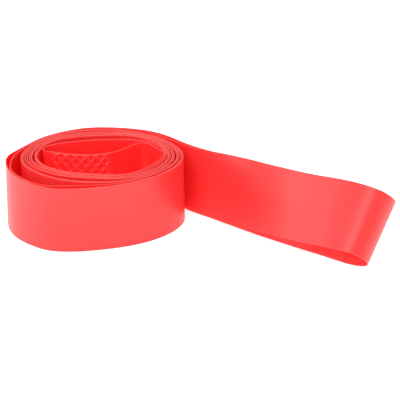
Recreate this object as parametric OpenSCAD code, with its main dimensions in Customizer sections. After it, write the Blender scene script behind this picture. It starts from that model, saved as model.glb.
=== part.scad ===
// Rim strip: one endless flat band of soft plastic, its two ends lapped and
// welded, folded double and wound into a loose coil that stands on its edge.
// The doubled tail runs off to the right and ends in an open bend.
// Millimetres.  X right, Y away from the front, Z up.

/* [Band] */
// width of the flat band
band_width = 25; // [20:0.5:30]
// thickness of the band
band_thickness = 0.4; // [0.3:0.05:0.4]
// radius of the valve hole
valve_hole_radius = 4.25; // [3:0.05:4.5]

/* [Sampling] */
// straight steps between two stations of the coil
coil_steps = 6; // [3:1:10]
// straight steps between two stations of the tail
tail_steps = 6; // [3:1:10]

/* [Hidden] */
W = band_width;
T = band_thickness;
// middle of the coil
CX = 0;
CY = -3;
// moves the finished model so that the middle of its footprint is the origin
SHIFT = [-38.3, 17.85, 0];
D = sqrt(0.5);
// eight compass directions, left first, then round by the back
DIR = [[-1, 0], [-D, D], [0, 1], [D, D], [1, 0], [D, -D], [0, -1], [-D, -D]];

// ---- stations: [x, y, height of the lower edge, offset of the upper edge in x, y]
function flat(l) = [for (p = l) [p[0], p[1], 0, 0, 0]];
function ring(reach, first) = [for (i = [0:len(reach) - 1])
    [CX + DIR[(first + i) % 8][0] * reach[i], CY + DIR[(first + i) % 8][1] * reach[i], 0, 0, 0]];
function reversed(l) = [for (i = [len(l) - 1:-1:0]) l[i]];

// outer sheet, from the inner fold outwards
OUT_HEAD = [[-18.9, 6.4], [-18.5, 7.4], [-17.6, 8.5], [-16.2, 9.7], [-13.4, 11.1], [-9, 12.4], [-2, 13.5], [6, 14], [12, 13.8],
    [17.4, 12.2], [22.4, 9]];
OUT_1 = [26.3, 20.35, 14.6, 16.1];
OUT_2 = [21.3, 22.9, 21.1, 25.7, 27.9, 22.3, 16.7, 17.7];
OUT_3 = [23.3, 24, 22.6, 26.8, 29.4, 23.9, 17.9, 19.5];
OUT_4 = [25.1, 25.2, 24.1, 27.9, 31.2, 25.6, 21.6, 22.6];
OUT_5 = [26.6, 26.45, 26.3, 29.1, 32.7, 27.7, 26.2];
OUT_LAST = [[-7, -30], [-14.7, -29.2], [-21.8, -25], [-27.9, -18.1], [-31.1, -11], [-32.2, -4], [-31.2, 1.4], [-28.2, 6], [-24.2, 11.3],
    [-19.5, 16.8], [-12.5, 21.6], [-4, 24.8], [4, 25.2], [12, 23.9], [19.9, 21.2]];
// inner sheet, from the inner fold outwards
IN_HEAD = [[-18.6, 5.3], [-17.4, 4.2], [-15.4, 3.4], [-12.8, 2.4], [-9, 1.3], [-3, 0.3], [3, 0.7], [8, 2.7], [12.4, 6.4],
    [16.8, 10], [20.5, 8.9], [23.6, 4.9]];
IN_1 = [25.4, 19.6, 14, 15.5];
IN_2 = [20.7, 22.3, 20.5, 25.1, 27.3, 21.7, 16.1, 17.1];
IN_3 = [22.7, 23.4, 22, 26.2, 28.8, 23.3, 17.3, 18.9];
IN_4 = [24.2, 24.6, 23.5, 27.3, 30.6, 25, 21, 22];
IN_5 = [26, 25.85, 25.7, 28.5, 32.1, 27, 23.8];
IN_LAST = [[-7.4, -27], [-14.2, -26.9], [-21, -24.3], [-27.1, -17.6], [-30.2, -11.2], [-30.4, -4.6], [-29.3, 0.9], [-27.1, 5.8], [-23.6, 10.9],
    [-19, 16.2], [-12.2, 21], [-3.9, 24.2], [3.9, 24.6], [11.8, 23.3], [19.3, 20.4]];

// tail: back sheet going out
PATCH_MID = [85.5, -40.5];
PATCH_HEADING = -40;
PATCH_LEAN = 30;
PATCH_LENGTH = 10;
function patch(s) = [PATCH_MID[0] + s * cos(PATCH_HEADING), PATCH_MID[1] + s * sin(PATCH_HEADING), 0,
    -W * sin(PATCH_LEAN) * sin(PATCH_HEADING), W * sin(PATCH_LEAN) * cos(PATCH_HEADING)];
TAIL_BACK = [[27.2, 15.1, 0, 0, 0.8], [34.1, 6, 0, 0.4, 2.4], [40.3, -1.2, 0, 1.8, 4], [47.1, -7.6, 0, 3.2, 4.9],
    [54, -13.9, 0, 3.3, 4.2], [61, -20.2, 0, 2.8, 3], [68.2, -26.2, 0, 3, 2.8], [75, -31.9, 0, 4.8, 5],
    patch(-PATCH_LENGTH / 2), patch(0), patch(PATCH_LENGTH / 2)];
// end bend
BEND = [[93.1, -46.9, 0.3, 9.2, 12.1], [96.4, -51.3, 1.9, 10.3, 13], [97.8, -55.4, 4.4, 10.7, 13.4], [97.1, -58.9, 7.5, 10.5, 13.5],
    [94.6, -61, 10.4, 10.2, 13.5]];
// front sheet coming back
TAIL_FRONT = [[26.4, 13.8, 0, 0, 0.8], [33.4, 5.1, 0, 0.3, 2.6], [40, -1.8, 0.3, 1.3, 3.9], [46.5, -9.7, 1.4, 3.2, 6.6],
    [52.4, -17.3, 3, 4.2, 6.9], [58, -25, 4.8, 4, 6.5], [63.7, -32.6, 6.6, 3.8, 6], [69.8, -40, 8.1, 4.2, 6.1],
    [76.3, -47.1, 9.4, 5.7, 7.5], [82.9, -54.2, 11.2, 8, 10.4], [89.8, -59.9, 12, 9.8, 12.7]];

// one closed loop of stations: out along the outer sheet, round the end bend, back along the inner sheet
LOOP = concat(flat(OUT_HEAD), ring(OUT_1, 4), ring(OUT_2, 0), ring(OUT_3, 0), ring(OUT_4, 0), ring(OUT_5, 0),
    flat(OUT_LAST), TAIL_BACK, BEND, reversed(TAIL_FRONT), reversed(flat(IN_LAST)), reversed(ring(IN_5, 0)),
    reversed(ring(IN_4, 0)), reversed(ring(IN_3, 0)), reversed(ring(IN_2, 0)), reversed(ring(IN_1, 4)),
    reversed(flat(IN_HEAD)));
N = len(LOOP);

// smooth curve through all stations
function settle(c, k) = k == 0 ? c : settle([for (i = [0:N - 1])
    c[i] + LOOP[i] - (c[(i + N - 1) % N] + 4 * c[i] + c[(i + 1) % N]) / 6], k - 1);
CTRL = settle(LOOP, 24);
function ctrl(i) = CTRL[(i + 2 * N) % N];
function at(u) = let (i = floor(u), t = u - i)
    (pow(1 - t, 3) * ctrl(i - 1) + (3 * t * t * t - 6 * t * t + 4) * ctrl(i)
    + (-3 * t * t * t + 3 * t * t + 3 * t + 1) * ctrl(i + 1) + t * t * t * ctrl(i + 2)) / 6;
function slope(u) = let (i = floor(u), t = u - i)
    (-(1 - t) * (1 - t) * ctrl(i - 1) + (3 * t * t - 4 * t) * ctrl(i)
    + (-3 * t * t + 2 * t + 1) * ctrl(i + 1) + t * t * ctrl(i + 2)) / 2;
function unit(v) = v / norm(v);

// ---- station numbers of the cuts between the named lengths
NO = len(OUT_HEAD);
function turn_start(k) = NO + 4 + 8 * (k - 2);        // left-hand station where turn k begins
O_LAST = turn_start(6) - 1;                            // first station of OUT_LAST
O_ROOT = O_LAST + 5;                                   // left-hand station of the last turn
O_TAIL = O_LAST + len(OUT_LAST);                       // first station of TAIL_BACK
B0 = O_TAIL + len(TAIL_BACK);                          // first station of BEND
F0 = B0 + len(BEND);                                   // last station of TAIL_FRONT, in loop order
I_TAIL = F0 + len(TAIL_FRONT) - 1;                     // first station of TAIL_FRONT
I_ROOT = I_TAIL + 1 + len(IN_LAST) - 1 - 5;
function in_turn_start(k) = N - len(IN_HEAD) - 4 - 8 * (k - 2) - 1;

// ---- builders
function steps(a, b, n) = [for (i = [0:(b - a) * n]) a + i / n];
function side(u, off) = let (p = at(u), d = unit([slope(u)[0], slope(u)[1]])) [p[0] - d[1] * off, p[1] + d[0] * off];
// straight-standing length between stations a and b, faces at offsets lo and hi
module standing(a, b, lo = -T / 2, hi = T / 2) {
    s = steps(a, b, coil_steps);
    translate(SHIFT) linear_extrude(height = W)
        polygon(concat([for (u = s) side(u, lo)], [for (u = reversed(s)) side(u, hi)]));
}
// four corners of a leaning length at station u: lower edge, then upper edge
function section(u) = let (p = at(u), d = slope(u), rise = sqrt(W * W - p[3] * p[3] - p[4] * p[4]),
    lift = [p[3], p[4], rise], along = [d[0] + d[3] / 2, d[1] + d[4] / 2, d[2]],
    n = unit(cross(along, lift)) * T / 2, low = [p[0], p[1], max(p[2], 0) + abs(n[2])])
    [low - n, low + n, low + lift + n, low + lift - n];
module leaning(a, b) {
    s = steps(a, b, tail_steps);
    m = len(s);
    pts = [for (u = s) each section(u)];
    faces = concat([[0, 3, 2], [0, 2, 1]], [[4 * m - 4, 4 * m - 3, 4 * m - 2], [4 * m - 4, 4 * m - 2, 4 * m - 1]],
        [for (i = [0:m - 2]) for (j = [0:3]) let (q = 4 * i + j, r = 4 * i + (j + 1) % 4) each
            [[q, r, r + 4], [q, r + 4, q + 4]]]);
    translate(SHIFT) polyhedron(points = pts, faces = faces, convexity = 4);
}

RED = [1, 0.3, 0.28];
INK = [0.93, 0.2, 0.2];

// which piece to draw

FOLD_O = 3;
FOLD_I = N - 3;
WELD_END = N - 8;

module inner_fold() color(RED) standing(FOLD_I, N + FOLD_O);
module outer_sheet_turn_1() color(RED) standing(FOLD_O, turn_start(2));
module outer_sheet_turn_2() color(RED) standing(turn_start(2), turn_start(3));
module outer_sheet_turn_3() color(RED) standing(turn_start(3), turn_start(4));
module outer_sheet_turn_4() color(RED) standing(turn_start(4), turn_start(5));
module outer_sheet_turn_5() color(RED) standing(turn_start(5), O_ROOT);
module outer_sheet_tail_root() color(RED) leaning(O_ROOT, O_TAIL + 1);
module tail_back_flex_1() color(RED) leaning(O_TAIL + 1, O_TAIL + 3);
module tail_back_mid() color(RED) leaning(O_TAIL + 3, O_TAIL + 5);
module tail_back_flex_2() color(RED) leaning(O_TAIL + 5, O_TAIL + 7);
module tail_back_end() color(RED) leaning(O_TAIL + 7, O_TAIL + 8);
module valve_hole_patch() color(RED)
    translate(SHIFT + [PATCH_MID[0], PATCH_MID[1], T / 2 * sin(PATCH_LEAN)])
    rotate([0, 0, PATCH_HEADING]) rotate([-PATCH_LEAN, 0, 0]) difference() {
        translate([-PATCH_LENGTH / 2 + 0.03, -T / 2, 0]) cube([PATCH_LENGTH - 0.06, T, W]);
        translate([0, 0, W / 2]) rotate([90, 0, 0])
            cylinder(r = valve_hole_radius, h = 4 * T, center = true, $fn = 96);
    }
module end_bend() color(RED) leaning(B0 - 1, F0);
module tail_front_end() color(RED) leaning(F0, F0 + 3);
module tail_front_flex_2() color(RED) leaning(F0 + 3, F0 + 5);
module tail_front_mid() color(RED) leaning(F0 + 5, F0 + 7);
module tail_front_flex_1() color(RED) leaning(F0 + 7, F0 + 9);
module inner_sheet_tail_root() color(RED) leaning(F0 + 9, I_ROOT);
module inner_sheet_turn_5() color(RED) standing(I_ROOT, in_turn_start(5));
module inner_sheet_turn_4() color(RED) standing(in_turn_start(5), in_turn_start(4));
module inner_sheet_turn_3() color(RED) standing(in_turn_start(4), in_turn_start(3));
module inner_sheet_turn_2() color(RED) standing(in_turn_start(3), in_turn_start(2));
module inner_sheet_turn_1() color(RED) standing(in_turn_start(2), WELD_END);
module weld_lap_under_end() color(INK) standing(WELD_END, FOLD_I);
module weld_lap_over_end() color(INK) standing(WELD_END, FOLD_I, T / 2, T);

inner_fold();
outer_sheet_turn_1();
outer_sheet_turn_2();
outer_sheet_turn_3();
outer_sheet_turn_4();
outer_sheet_turn_5();
outer_sheet_tail_root();
tail_back_flex_1();
tail_back_mid();
tail_back_flex_2();
tail_back_end();
valve_hole_patch();
end_bend();
tail_front_end();
tail_front_flex_2();
tail_front_mid();
tail_front_flex_1();
inner_sheet_tail_root();
inner_sheet_turn_5();
inner_sheet_turn_4();
inner_sheet_turn_3();
inner_sheet_turn_2();
inner_sheet_turn_1();
weld_lap_under_end();
weld_lap_over_end();
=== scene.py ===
# Looks of the rim strip: one flat band of soft red plastic, folded double and coiled.
# Every visible length is a fine mesh of the same length in the frame, with its real
# thickness, cut edges, fine knurl on the inner face and coarse emboss on the weld.
import math

import bpy
import numpy as np
from mathutils import Matrix, Vector


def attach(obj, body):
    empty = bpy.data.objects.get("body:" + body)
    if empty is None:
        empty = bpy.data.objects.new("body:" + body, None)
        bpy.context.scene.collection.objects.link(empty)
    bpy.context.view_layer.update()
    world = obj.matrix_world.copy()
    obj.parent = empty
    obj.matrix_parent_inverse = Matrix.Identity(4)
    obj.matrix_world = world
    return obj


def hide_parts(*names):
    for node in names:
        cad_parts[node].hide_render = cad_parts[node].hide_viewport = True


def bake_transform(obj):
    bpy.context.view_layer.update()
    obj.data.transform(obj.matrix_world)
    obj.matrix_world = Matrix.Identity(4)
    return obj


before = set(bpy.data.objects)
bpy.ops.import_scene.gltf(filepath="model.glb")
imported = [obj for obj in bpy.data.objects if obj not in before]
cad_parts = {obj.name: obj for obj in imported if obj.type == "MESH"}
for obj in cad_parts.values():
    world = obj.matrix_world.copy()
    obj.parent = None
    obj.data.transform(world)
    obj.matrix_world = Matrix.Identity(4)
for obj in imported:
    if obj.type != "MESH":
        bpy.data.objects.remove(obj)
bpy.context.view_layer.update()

MM = 0.001
W, T = 25.0, 0.4
CX, CY = 0.0, -3.0
SHIFT = np.array([-38.3, 17.85, 0.0])
CHAMFER = 0.05

# ------------------------------------------------------------------ route of the band, mm
D = math.sqrt(0.5)
DIR = [(-1, 0), (-D, D), (0, 1), (D, D), (1, 0), (D, -D), (0, -1), (-D, -D)]


def flat(l):
    return [[p[0], p[1], 0, 0, 0] for p in l]


def ring(reach, first):
    return [
        [CX + DIR[(first + i) % 8][0] * r, CY + DIR[(first + i) % 8][1] * r, 0, 0, 0]
        for i, r in enumerate(reach)
    ]


#ROUTE-BEGIN
PATCH_MID, PATCH_HEADING, PATCH_LEAN, PATCH_LENGTH = [85.5, -40.5], -40, 30, 10


def patch(s):
    a, l = math.radians(PATCH_HEADING), math.radians(PATCH_LEAN)
    return [PATCH_MID[0] + s * math.cos(a), PATCH_MID[1] + s * math.sin(a), 0,
            -W * math.sin(l) * math.sin(a), W * math.sin(l) * math.cos(a)]


OUT_HEAD = [[-18.9, 6.4], [-18.5, 7.4], [-17.6, 8.5], [-16.2, 9.7], [-13.4, 11.1], [-9, 12.4], [-2, 13.5], [6, 14], [12, 13.8],
    [17.4, 12.2], [22.4, 9]]
OUT_1 = [26.3, 20.35, 14.6, 16.1]
OUT_2 = [21.3, 22.9, 21.1, 25.7, 27.9, 22.3, 16.7, 17.7]
OUT_3 = [23.3, 24, 22.6, 26.8, 29.4, 23.9, 17.9, 19.5]
OUT_4 = [25.1, 25.2, 24.1, 27.9, 31.2, 25.6, 21.6, 22.6]
OUT_5 = [26.6, 26.45, 26.3, 29.1, 32.7, 27.7, 26.2]
OUT_LAST = [[-7, -30], [-14.7, -29.2], [-21.8, -25], [-27.9, -18.1], [-31.1, -11], [-32.2, -4], [-31.2, 1.4], [-28.2, 6], [-24.2, 11.3],
    [-19.5, 16.8], [-12.5, 21.6], [-4, 24.8], [4, 25.2], [12, 23.9], [19.9, 21.2]]
IN_HEAD = [[-18.6, 5.3], [-17.4, 4.2], [-15.4, 3.4], [-12.8, 2.4], [-9, 1.3], [-3, 0.3], [3, 0.7], [8, 2.7], [12.4, 6.4],
    [16.8, 10], [20.5, 8.9], [23.6, 4.9]]
IN_1 = [25.4, 19.6, 14, 15.5]
IN_2 = [20.7, 22.3, 20.5, 25.1, 27.3, 21.7, 16.1, 17.1]
IN_3 = [22.7, 23.4, 22, 26.2, 28.8, 23.3, 17.3, 18.9]
IN_4 = [24.2, 24.6, 23.5, 27.3, 30.6, 25, 21, 22]
IN_5 = [26, 25.85, 25.7, 28.5, 32.1, 27, 23.8]
IN_LAST = [[-7.4, -27], [-14.2, -26.9], [-21, -24.3], [-27.1, -17.6], [-30.2, -11.2], [-30.4, -4.6], [-29.3, 0.9], [-27.1, 5.8], [-23.6, 10.9],
    [-19, 16.2], [-12.2, 21], [-3.9, 24.2], [3.9, 24.6], [11.8, 23.3], [19.3, 20.4]]
TAIL_BACK = [[27.2, 15.1, 0, 0, 0.8], [34.1, 6, 0, 0.4, 2.4], [40.3, -1.2, 0, 1.8, 4], [47.1, -7.6, 0, 3.2, 4.9],
    [54, -13.9, 0, 3.3, 4.2], [61, -20.2, 0, 2.8, 3], [68.2, -26.2, 0, 3, 2.8], [75, -31.9, 0, 4.8, 5],
    patch(-PATCH_LENGTH / 2), patch(0), patch(PATCH_LENGTH / 2)]
BEND = [[93.1, -46.9, 0.3, 9.2, 12.1], [96.4, -51.3, 1.9, 10.3, 13], [97.8, -55.4, 4.4, 10.7, 13.4], [97.1, -58.9, 7.5, 10.5, 13.5],
    [94.6, -61, 10.4, 10.2, 13.5]]
TAIL_FRONT = [[26.4, 13.8, 0, 0, 0.8], [33.4, 5.1, 0, 0.3, 2.6], [40, -1.8, 0.3, 1.3, 3.9], [46.5, -9.7, 1.4, 3.2, 6.6],
    [52.4, -17.3, 3, 4.2, 6.9], [58, -25, 4.8, 4, 6.5], [63.7, -32.6, 6.6, 3.8, 6], [69.8, -40, 8.1, 4.2, 6.1],
    [76.3, -47.1, 9.4, 5.7, 7.5], [82.9, -54.2, 11.2, 8, 10.4], [89.8, -59.9, 12, 9.8, 12.7]]
#ROUTE-END

LOOP = np.array(
    flat(OUT_HEAD) + ring(OUT_1, 4) + ring(OUT_2, 0) + ring(OUT_3, 0) + ring(OUT_4, 0) + ring(OUT_5, 0)
    + flat(OUT_LAST) + TAIL_BACK + BEND + TAIL_FRONT[::-1] + flat(IN_LAST)[::-1] + ring(IN_5, 0)[::-1]
    + ring(IN_4, 0)[::-1] + ring(IN_3, 0)[::-1] + ring(IN_2, 0)[::-1] + ring(IN_1, 4)[::-1]
    + flat(IN_HEAD)[::-1],
    float,
)
N = len(LOOP)
CTRL = LOOP.copy()
for _ in range(24):
    CTRL = CTRL + LOOP - (np.roll(CTRL, 1, 0) + 4 * CTRL + np.roll(CTRL, -1, 0)) / 6


def at(u):
    u = np.atleast_1d(np.asarray(u, float))
    i = np.floor(u).astype(int)
    t = (u - i)[:, None]
    return (
        (1 - t) ** 3 * CTRL[(i - 1) % N]
        + (3 * t**3 - 6 * t * t + 4) * CTRL[i % N]
        + (-3 * t**3 + 3 * t * t + 3 * t + 1) * CTRL[(i + 1) % N]
        + t**3 * CTRL[(i + 2) % N]
    ) / 6


def slope(u):
    u = np.atleast_1d(np.asarray(u, float))
    i = np.floor(u).astype(int)
    t = (u - i)[:, None]
    return (
        -((1 - t) ** 2) * CTRL[(i - 1) % N]
        + (3 * t * t - 4 * t) * CTRL[i % N]
        + (-3 * t * t + 2 * t + 1) * CTRL[(i + 1) % N]
        + t * t * CTRL[(i + 2) % N]
    ) / 2


def unit(v):
    return v / np.maximum(np.linalg.norm(v, axis=-1, keepdims=True), 1e-12)


def section(u):
    """Lower edge, direction across the width, outward normal of side B, at stations u."""
    p, d = at(u), slope(u)
    rise = np.sqrt(W * W - p[:, 3] ** 2 - p[:, 4] ** 2)
    lift = np.stack([p[:, 3], p[:, 4], rise], 1)
    along = np.stack([d[:, 0] + d[:, 3] / 2, d[:, 1] + d[:, 4] / 2, d[:, 2]], 1)
    n = unit(np.cross(along, lift))
    low = np.stack([p[:, 0], p[:, 1], np.maximum(p[:, 2], 0) + np.abs(n[:, 2]) * T / 2], 1)
    return low + SHIFT, lift / W, n


# length along the band at any station, from the inner fold, at mid width
_tab_u = np.arange(-20, N + 20 + 1e-9, 1 / 16)
_low, _up, _n = section(_tab_u)
_mid = _low + _up * W / 2
_tab_s = np.r_[0, np.cumsum(np.linalg.norm(np.diff(_mid, axis=0), axis=1))]
_tab_s -= np.interp(0, _tab_u, _tab_s)


def run(u):
    return np.interp(u, _tab_u, _tab_s)


def station(s):
    return np.interp(s, _tab_s, _tab_u)


# stations of the cuts between the named lengths
NO = len(OUT_HEAD)


def turn_start(k):
    return NO + 4 + 8 * (k - 2)


def in_turn_start(k):
    return N - len(IN_HEAD) - 4 - 8 * (k - 2) - 1


O_LAST = turn_start(6) - 1
O_ROOT = O_LAST + 5
O_TAIL = O_LAST + len(OUT_LAST)
B0 = O_TAIL + len(TAIL_BACK)
F0 = B0 + len(BEND)
I_TAIL = F0 + len(TAIL_FRONT) - 1
I_ROOT = I_TAIL + 1 + len(IN_LAST) - 1 - 5
FOLD_O, FOLD_I, WELD_END = 3, N - 3, N - 8

PATCH_A, PATCH_B = O_TAIL + 8, O_TAIL + 10


# ------------------------------------------------------------------ surface relief, mm
def knurl(s, v, ps=1.2, pv=0.95):
    """Fine diamond knurl of the inner face: little pyramids, 0 to 1."""
    a = s / ps + v / pv
    b = s / ps - v / pv
    fa = 1 - np.abs(((a % 1) - 0.5) * 2)
    fb = 1 - np.abs(((b % 1) - 0.5) * 2)
    return np.minimum(fa, fb)


def emboss(s, v, ps=3.6, pv=4.0, wide=0.25):
    """Coarse weld pattern: crossing raised ridges, 0 to 1."""
    a = s / ps + v / pv
    b = s / ps - v / pv
    da = np.abs((a % 1) - 0.5)
    db = np.abs((b % 1) - 0.5)
    ridge = lambda d: np.clip((wide - d) / wide, 0, 1)
    ra, rb = ridge(da), ridge(db)
    r = np.maximum(ra, rb)
    return r * r * (3 - 2 * r)


# ------------------------------------------------------------------ materials
def new_material(name):
    m = bpy.data.materials.new(name)
    m.use_nodes = True
    return m, m.node_tree.nodes, m.node_tree.links


def node(nodes, kind, x=0, y=0, **values):
    n = nodes.new(kind)
    n.location = (x, y)
    for k, v in values.items():
        if k in n.inputs:
            n.inputs[k].default_value = v
        else:
            setattr(n, k, v)
    return n


def band_material(name, base, deep, rough, knurled, glow=0.5):
    """Satin plastic: soft colour drift, faint lengthwise drawing marks, tiny specks, fine knurl where asked, and a
    faint painted red glow from emission.
    """
    m, nodes, links = new_material(name)
    bsdf = nodes["Principled BSDF"]
    bsdf.inputs["IOR"].default_value = 1.47
    # light passes through the thin red plastic
    bsdf.inputs["Subsurface Weight"].default_value = glow
    bsdf.inputs["Subsurface Radius"].default_value = (0.006, 0.0004, 0.0003)
    bsdf.inputs["Subsurface Scale"].default_value = 1.0
    # painted glow: a faint red emission makes every band face shine a little by itself, brighter than the lamps alone
    # make it
    bsdf.inputs["Emission Color"].default_value = (1.0, 0.0, 0.0, 1)
    bsdf.inputs["Emission Strength"].default_value = 0.07
    uv = node(nodes, "ShaderNodeUVMap", -1500, 0)
    uv.uv_map = "band"
    # slow drift of colour along the strip
    drift_map = node(nodes, "ShaderNodeMapping", -1300, 200)
    drift_map.inputs["Scale"].default_value = (18, 60, 1)
    links.new(uv.outputs[0], drift_map.inputs[0])
    drift = node(nodes, "ShaderNodeTexNoise", -1100, 200, Scale=1.0, Detail=3.0, Roughness=0.5)
    links.new(drift_map.outputs[0], drift.inputs["Vector"])
    ramp = node(nodes, "ShaderNodeValToRGB", -900, 200)
    ramp.color_ramp.elements[0].position = 0.3
    ramp.color_ramp.elements[0].color = (*deep, 1)
    ramp.color_ramp.elements[1].position = 0.7
    ramp.color_ramp.elements[1].color = (*base, 1)
    links.new(drift.outputs["Fac"], ramp.inputs[0])
    links.new(ramp.outputs[0], bsdf.inputs["Base Color"])
    # roughness: fine mottling
    grain_map = node(nodes, "ShaderNodeMapping", -1300, -200)
    grain_map.inputs["Scale"].default_value = (900, 2600, 1)
    links.new(uv.outputs[0], grain_map.inputs[0])
    grain = node(nodes, "ShaderNodeTexNoise", -1100, -200, Scale=1.0, Detail=4.0, Roughness=0.6)
    links.new(grain_map.outputs[0], grain.inputs["Vector"])
    rr = node(nodes, "ShaderNodeMapRange", -800, -200)
    rr.inputs["From Min"].default_value = 0.3
    rr.inputs["From Max"].default_value = 0.7
    rr.inputs["To Min"].default_value = rough - 0.05
    rr.inputs["To Max"].default_value = rough + 0.06
    links.new(grain.outputs["Fac"], rr.inputs["Value"])
    links.new(rr.outputs[0], bsdf.inputs["Roughness"])
    # drawing marks: fine streaks that run along the strip
    draw_map = node(nodes, "ShaderNodeMapping", -1300, -500)
    draw_map.inputs["Scale"].default_value = (30, 3000, 1)
    links.new(uv.outputs[0], draw_map.inputs[0])
    draw = node(nodes, "ShaderNodeTexNoise", -1100, -500, Scale=1.0, Detail=2.0, Roughness=0.5)
    links.new(draw_map.outputs[0], draw.inputs["Vector"])
    bump = node(nodes, "ShaderNodeBump", -500, -400, Strength=0.25, Distance=0.00002)
    links.new(draw.outputs["Fac"], bump.inputs["Height"])
    bump2 = node(nodes, "ShaderNodeBump", -300, -400, Strength=0.2, Distance=0.00002)
    links.new(grain.outputs["Fac"], bump2.inputs["Height"])
    links.new(bump.outputs[0], bump2.inputs["Normal"])
    last = bump2
    if knurled:
        sep = node(nodes, "ShaderNodeSeparateXYZ", -1300, -800)
        links.new(uv.outputs[0], sep.inputs[0])

        def wave(sign):
            a = node(nodes, "ShaderNodeMath", -1100, -800, operation="MULTIPLY")
            a.inputs[1].default_value = 1 / 0.0012
            links.new(sep.outputs[0], a.inputs[0])
            b = node(nodes, "ShaderNodeMath", -1000, -900, operation="MULTIPLY_ADD")
            b.inputs[1].default_value = sign / 0.00095
            links.new(sep.outputs[1], b.inputs[0])
            links.new(a.outputs[0], b.inputs[2])
            c = node(nodes, "ShaderNodeMath", -900, -900, operation="PINGPONG")
            c.inputs[1].default_value = 0.5
            links.new(b.outputs[0], c.inputs[0])
            return c

        c1, c2 = wave(1), wave(-1)
        low = node(nodes, "ShaderNodeMath", -700, -850, operation="MINIMUM")
        links.new(c1.outputs[0], low.inputs[0])
        links.new(c2.outputs[0], low.inputs[1])
        kb = node(nodes, "ShaderNodeBump", -100, -500, Strength=1.0, Distance=0.00016)
        links.new(low.outputs[0], kb.inputs["Height"])
        links.new(last.outputs[0], kb.inputs["Normal"])
        last = kb
    links.new(last.outputs[0], bsdf.inputs["Normal"])
    return m


BASE, DEEP = (0.97, 0.040, 0.040), (0.93, 0.030, 0.030)
MAT_A = band_material("band_smooth_face", BASE, DEEP, 0.38, False)
INNER, INNER_DEEP = (0.96, 0.030, 0.032), (0.92, 0.022, 0.024)
MAT_B = band_material("band_knurled_face", INNER, INNER_DEEP, 0.4, True)
MAT_B_FINE = band_material("band_knurled_face_fine", INNER, INNER_DEEP, 0.3, False, 0.1)
# painted highlight: the cut edges get a paler red than the faces, standing in for the light they catch from above
MAT_E_PAINTED_HIGHLIGHT = band_material("band_cut_edge_painted_highlight", (1.0, 0.1, 0.09), (0.98, 0.075, 0.07), 0.5, False)
MAT_W = band_material("weld_emboss_face", INNER, INNER_DEEP, 0.38, False, 0.1)


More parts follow.
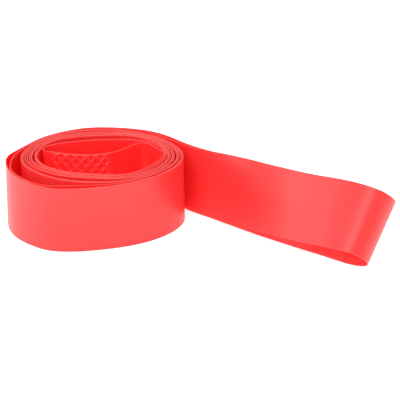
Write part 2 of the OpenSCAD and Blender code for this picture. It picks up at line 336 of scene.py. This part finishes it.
# ------------------------------------------------------------------ mesh of one length
def make_length(name, a, b, lo=-T / 2, hi=T / 2, per=14, fine_a=None, fine_b=None, pitch=None, rows=6,
                mats=None, taper=None):
    """A closed strip between stations a and b. lo and hi are offsets along side B's normal.
    fine_a / fine_b: relief(s, v) in mm added outwards on side A / side B. pitch: sampling in mm where it is fine."""
    if pitch:
        s = np.linspace(run(a), run(b), max(2, int(round((run(b) - run(a)) / pitch))) + 1)
        u = station(s)
        u[0], u[-1] = a, b
    else:
        u = np.linspace(a, b, int(round((b - a) * per)) + 1)
        s = run(u)
    low, up, n = section(u)
    m = len(u)
    c = CHAMFER
    # the outer face of a lapped end comes down to nothing over its last few millimetres
    thin = np.ones(m) if taper is None else 0.08 + 0.92 * np.clip((s - s[0]) / taper, 0, 1)
    na = (int((W - 2 * c) / pitch) if (pitch and fine_a) else rows)
    nb = (int((W - 2 * c) / pitch) if (pitch and fine_b) else rows)
    va, vb = np.linspace(c, W - c, na + 1), np.linspace(W - c, c, nb + 1)
    # profile ring: (v, w, kind) kind 0 = side A, 1 = edge, 2 = side B
    prof_v = np.r_[va, W, W, vb, 0, 0]
    prof_w = np.r_[np.full(na + 1, lo), lo + c, hi - c, np.full(nb + 1, hi), hi - c, lo + c]
    k = len(prof_v)
    disp = np.zeros((m, k))
    offs = hi + (prof_w[None, :] - hi) * thin[:, None]
    if fine_a:
        disp[:, : na + 1] = -fine_a(s[:, None], va[None, :])
    if fine_b:
        disp[:, na + 3 : na + 4 + nb] = fine_b(s[:, None], vb[None, :])
    P = (
        low[:, None, :]
        + up[:, None, :] * prof_v[None, :, None]
        + n[:, None, :] * (offs[:, :, None] + disp[:, :, None])
    )
    verts = (P.reshape(-1, 3) * MM).tolist()
    faces, mat, uvs = [], [], []
    kinds = [0] * na + [1, 1, 1] + [2] * nb + [1, 1, 1]
    i = np.arange(m - 1)
    for j in range(k):
        j2 = (j + 1) % k
        q = np.stack([i * k + j, i * k + j2, (i + 1) * k + j2, (i + 1) * k + j], 1)
        faces.append(q)
        mat.append(np.full(m - 1, kinds[j]))
    faces = np.concatenate(faces)
    mat = np.concatenate(mat)
    cap0 = list(range(k))
    cap1 = [(m - 1) * k + j for j in range(k)][::-1]
    flist = [tuple(x) for x in faces.tolist()] + [tuple(cap0[::-1]), tuple(cap1[::-1])]
    # winding is checked below, so the outside is the outside
    me = bpy.data.meshes.new(name)
    me.from_pydata(verts, [], flist)
    # outward test on the first side A face
    f = me.polygons[0]
    if np.dot(np.array(f.normal), -n[0]) < 0:
        me.flip_normals()
    allmat = np.r_[mat, [1, 1]].astype(np.int32)
    for mm_ in mats or (MAT_A, MAT_E_PAINTED_HIGHLIGHT, MAT_B):
        me.materials.append(mm_)
    me.polygons.foreach_set("material_index", allmat)
    # faces smooth, cut edges and caps flat
    me.polygons.foreach_set("use_smooth", (allmat != 1) if (fine_a or fine_b) else np.ones(len(me.polygons), bool))
    # uv: metres along and across the strip
    uvl = me.uv_layers.new(name="band")
    loop_v = np.zeros(len(me.loops), np.int32)
    me.loops.foreach_get("vertex_index", loop_v)
    vs = np.repeat(s, k) * MM
    vv = np.tile(prof_v, m) * MM
    uvs = np.stack([vs[loop_v], vv[loop_v]], 1).astype(np.float32)
    uvl.data.foreach_set("uv", uvs.ravel())
    # exact normals, so that neighbouring lengths meet without a seam
    if not (fine_a or fine_b):
        starts = np.zeros(len(me.polygons), np.int32)
        totals = np.zeros(len(me.polygons), np.int32)
        me.polygons.foreach_get("loop_start", starts)
        me.polygons.foreach_get("loop_total", totals)
        poly_of_loop = np.repeat(np.arange(len(me.polygons)), totals)
        sec = loop_v // k
        nor = np.zeros((len(me.loops), 3))
        kind = allmat[poly_of_loop]
        nor[kind == 0] = -n[sec[kind == 0]]
        nor[kind == 2] = n[sec[kind == 2]]
        # edge faces: each ring segment has its own flat direction
        seg = (poly_of_loop // (m - 1)).clip(0, k - 1)
        e = kind == 1
        dv = prof_v[(seg + 1) % k] - prof_v[seg]
        dw = prof_w[(seg + 1) % k] - prof_w[seg]
        en = up[sec] * dw[:, None] - n[sec] * dv[:, None]
        en = unit(en)
        # side A runs upward in v, where the outside is -n: matches (dw, -dv)
        nor[e] = en[e]
        ncap = len(me.polygons) - 2
        capl = poly_of_loop >= ncap
        nor[capl] = [me.polygons[p].normal[:] for p in poly_of_loop[capl]]
        me.normals_split_custom_set(nor.tolist())
    ob = bpy.data.objects.new(name, me)
    bpy.context.collection.objects.link(ob)
    return ob, (low, up, n)


PIECES = {}


def add(nodename, a, b, body=None, bend=None, slot="band", **kw):
    ob, geo = make_length("band_" + nodename, a, b, **kw)
    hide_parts(nodename)
    if bend:
        low, up, n = geo
        heading = unit((low[-1] + up[-1] * W / 2) - (low[0] + up[0] * W / 2))
        heading[2] = 0
        heading = unit(heading)
        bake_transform(ob)
    else:
        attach(ob, body)
    PIECES[nodename] = ob
    return ob


relief_b = lambda s, v: 0.24 * knurl(s, v)


def relief_weld(s, v):
    # fades out towards the open end of the lap, and just inside the edges
    s0 = run(WELD_END)
    fade = np.clip((s - s0) / 6.0, 0, 1)
    fade = fade * fade * (3 - 2 * fade)
    edge = np.clip(v / 0.6, 0, 1) * np.clip((W - v) / 0.6, 0, 1)
    return 0.7 * emboss(s, v) * fade * edge


# coil
add("inner_fold", FOLD_I, N + FOLD_O, "coil", per=20)
add("outer_sheet_turn_1", FOLD_O, turn_start(2), "coil", fine_b=relief_b, pitch=0.17,
    mats=(MAT_A, MAT_E_PAINTED_HIGHLIGHT, MAT_B_FINE))
for k_ in (2, 3, 4):
    add(f"outer_sheet_turn_{k_}", turn_start(k_), turn_start(k_ + 1), "coil")
add("outer_sheet_turn_5", turn_start(5), O_ROOT, "coil", per=20)
add("outer_sheet_tail_root", O_ROOT, O_TAIL + 1, "coil", per=20)
add("inner_sheet_tail_root", F0 + 9, I_ROOT, "coil", per=20)
add("inner_sheet_turn_5", I_ROOT, in_turn_start(5), "coil")
for k_ in (4, 3, 2):
    add(f"inner_sheet_turn_{k_}", in_turn_start(k_ + 1), in_turn_start(k_), "coil")
add("inner_sheet_turn_1", in_turn_start(2), WELD_END, "coil", per=20)
add("weld_lap_under_end", WELD_END, FOLD_I, "coil", slot="weld", per=20)
add("weld_lap_over_end", WELD_END, FOLD_I, "coil", slot="weld", lo=-T, hi=-T / 2, fine_a=relief_weld, pitch=0.17, taper=7.0,
    mats=(MAT_W, MAT_E_PAINTED_HIGHLIGHT, MAT_B))
# tail, back sheet
add("tail_back_flex_1", O_TAIL + 1, O_TAIL + 3, bend=("coil", "tail_mid"), per=20)
add("tail_back_mid", O_TAIL + 3, O_TAIL + 5, "tail_mid", per=20)
add("tail_back_flex_2", O_TAIL + 5, O_TAIL + 7, bend=("tail_mid", "tail_end"), per=20)
add("tail_back_end", O_TAIL + 7, O_TAIL + 8, "tail_end", per=20)
add("end_bend", B0 - 1, F0, "tail_end", per=20)
# tail, front sheet
add("tail_front_end", F0, F0 + 3, "tail_end", per=20)
add("tail_front_flex_2", F0 + 3, F0 + 5, bend=("tail_end", "tail_mid"), per=20)
add("tail_front_mid", F0 + 5, F0 + 7, "tail_mid", per=20)
add("tail_front_flex_1", F0 + 7, F0 + 9, bend=("tail_mid", "coil"), per=20)


# flat length with the valve hole: two faces with a round opening, its wall, four cut sides
def make_patch(name="band_valve_hole_patch", seg=96, radius=4.25):
    low, up, n = section([PATCH_A, PATCH_A + 1, PATCH_B])
    up, n = up[1], n[1]
    heading = unit(low[2] - low[0])
    half = PATCH_LENGTH / 2 - 0.015
    centre = low[1] + up * W / 2
    ang = np.sort(np.r_[np.arange(seg) * 2 * math.pi / seg,
                        [math.atan2(b * W / 2, a * half) % (2 * math.pi) for a in (-1, 1) for b in (-1, 1)]])
    ang = ang[np.r_[True, np.diff(ang) > 1e-6]]
    m = len(ang)
    ca, sa = np.cos(ang), np.sin(ang)
    reach = np.minimum(half / np.maximum(np.abs(ca), 1e-9), W / 2 / np.maximum(np.abs(sa), 1e-9))
    rings = []
    fractions = np.linspace(0, 1, 9)
    for w, inner in [(-T / 2, None), (T / 2, None)]:
        for f in fractions:
            d = (radius + 0.05) * (1 - f) + (reach - 0.05) * f
            rings.append((d * ca, d * sa, w))
    ins_lo, ins_hi = (radius * ca, radius * sa, -T / 2 + 0.05), (radius * ca, radius * sa, T / 2 - 0.05)
    out_lo, out_hi = (reach * ca, reach * sa, -T / 2 + 0.05), (reach * ca, reach * sa, T / 2 - 0.05)
    k = len(fractions)
    order = rings[:k] + [out_lo, out_hi] + rings[k:][::-1] + [ins_hi, ins_lo]
    kinds = [0] * (k - 1) + [1, 1, 1] + [2] * (k - 1) + [1, 1, 1]
    P = np.array([centre + np.outer(x, heading) + np.outer(y, up) + w * n for x, y, w in order])
    q = len(order)
    faces, mat = [], []
    for j in range(q):
        j2 = (j + 1) % q
        for i in range(m):
            i2 = (i + 1) % m
            faces.append((j * m + i, j * m + i2, j2 * m + i2, j2 * m + i))
            mat.append(kinds[j])
    me = bpy.data.meshes.new(name)
    me.from_pydata((P.reshape(-1, 3) * MM).tolist(), [], faces)
    if np.dot(np.array(me.polygons[0].normal), -n) < 0:
        me.flip_normals()
    for mm_ in (MAT_A, MAT_E_PAINTED_HIGHLIGHT, MAT_B):
        me.materials.append(mm_)
    me.polygons.foreach_set("material_index", np.array(mat, np.int32))
    me.polygons.foreach_set("use_smooth", np.zeros(len(faces), bool))
    uvl = me.uv_layers.new(name="band")
    loop_v = np.zeros(len(me.loops), np.int32)
    me.loops.foreach_get("vertex_index", loop_v)
    s_mid = float(run(PATCH_A + 1))
    us = np.concatenate([s_mid + x for x, y, w in order]) * MM
    vs = np.concatenate([W / 2 + y for x, y, w in order]) * MM
    uvl.data.foreach_set("uv", np.stack([us[loop_v], vs[loop_v]], 1).astype(np.float32).ravel())
    ob = bpy.data.objects.new(name, me)
    bpy.context.collection.objects.link(ob)
    return ob


patch_ob = make_patch()
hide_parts("valve_hole_patch")
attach(patch_ob, "tail_end")

# ------------------------------------------------------------------ floor, light, camera
floor_mesh = bpy.data.meshes.new("floor")
floor_mesh.from_pydata([(-8, -8, 0), (8, -8, 0), (8, 8, 0), (-8, 8, 0)], [], [(0, 1, 2, 3)])
floor = bpy.data.objects.new("floor", floor_mesh)
bpy.context.collection.objects.link(floor)
floor.location = (0, 0, -0.00002)
fm, fn, fl = new_material("pale_floor")
fb = fn["Principled BSDF"]
fb.inputs["Base Color"].default_value = (0.92, 0.92, 0.92, 1)
fb.inputs["Roughness"].default_value = 0.9
fb.inputs["Specular IOR Level"].default_value = 0.1
fb.inputs["Emission Color"].default_value = (1, 1, 1, 1)
fb.inputs["Emission Strength"].default_value = 0.7
floor_mesh.materials.append(fm)

world = bpy.data.worlds.new("studio")
bpy.context.scene.world = world
world.use_nodes = True
world.node_tree.nodes["Background"].inputs[0].default_value = (1, 1, 1, 1)
world.node_tree.nodes["Background"].inputs[1].default_value = 0.75


def softbox(name, place, aim, size, power):
    l = bpy.data.lights.new(name, "AREA")
    l.shape = "RECTANGLE"
    l.size, l.size_y = size
    l.energy = power
    o = bpy.data.objects.new(name, l)
    bpy.context.collection.objects.link(o)
    o.location = place
    o.rotation_euler = (Vector(aim) - Vector(place)).to_track_quat("-Z", "Y").to_euler()
    return o


softbox("left", (-1.4, 0.1, 0.35), (0, 0, 0.01), (0.7, 0.6), 5.0)
softbox("key", (-0.5, -0.85, 0.85), (0, 0, 0.01), (0.6, 0.6), 6.5)

cam_data = bpy.data.cameras.new("camera")
cam = bpy.data.objects.new("camera", cam_data)
bpy.context.collection.objects.link(cam)
bpy.context.scene.camera = cam
cam_data.sensor_width = 36
cam_data.lens = 360
cam_data.clip_end = 50
cam_data.shift_y = -0.01
ELEV, ROLL = math.radians(24.5), math.radians(1.15)
target = (np.array([38.65, -3.68, 9.2]) + SHIFT) * MM
fwd = Vector((0, math.cos(ELEV), -math.sin(ELEV)))
upv = Vector((0, math.sin(ELEV), math.cos(ELEV)))
right = Vector((1, 0, 0))
# the camera is turned a little clockwise, so uprights in the picture lean left
x_ax = right * math.cos(ROLL) - upv * math.sin(ROLL)
y_ax = upv * math.cos(ROLL) + right * math.sin(ROLL)
rot = Matrix((x_ax, y_ax, -fwd)).transposed()
cam.matrix_world = Matrix.Translation(Vector(target) - fwd * 1.4724) @ rot.to_4x4()

sc = bpy.context.scene
sc.view_settings.view_transform = "Standard"
sc.view_settings.look = "None"
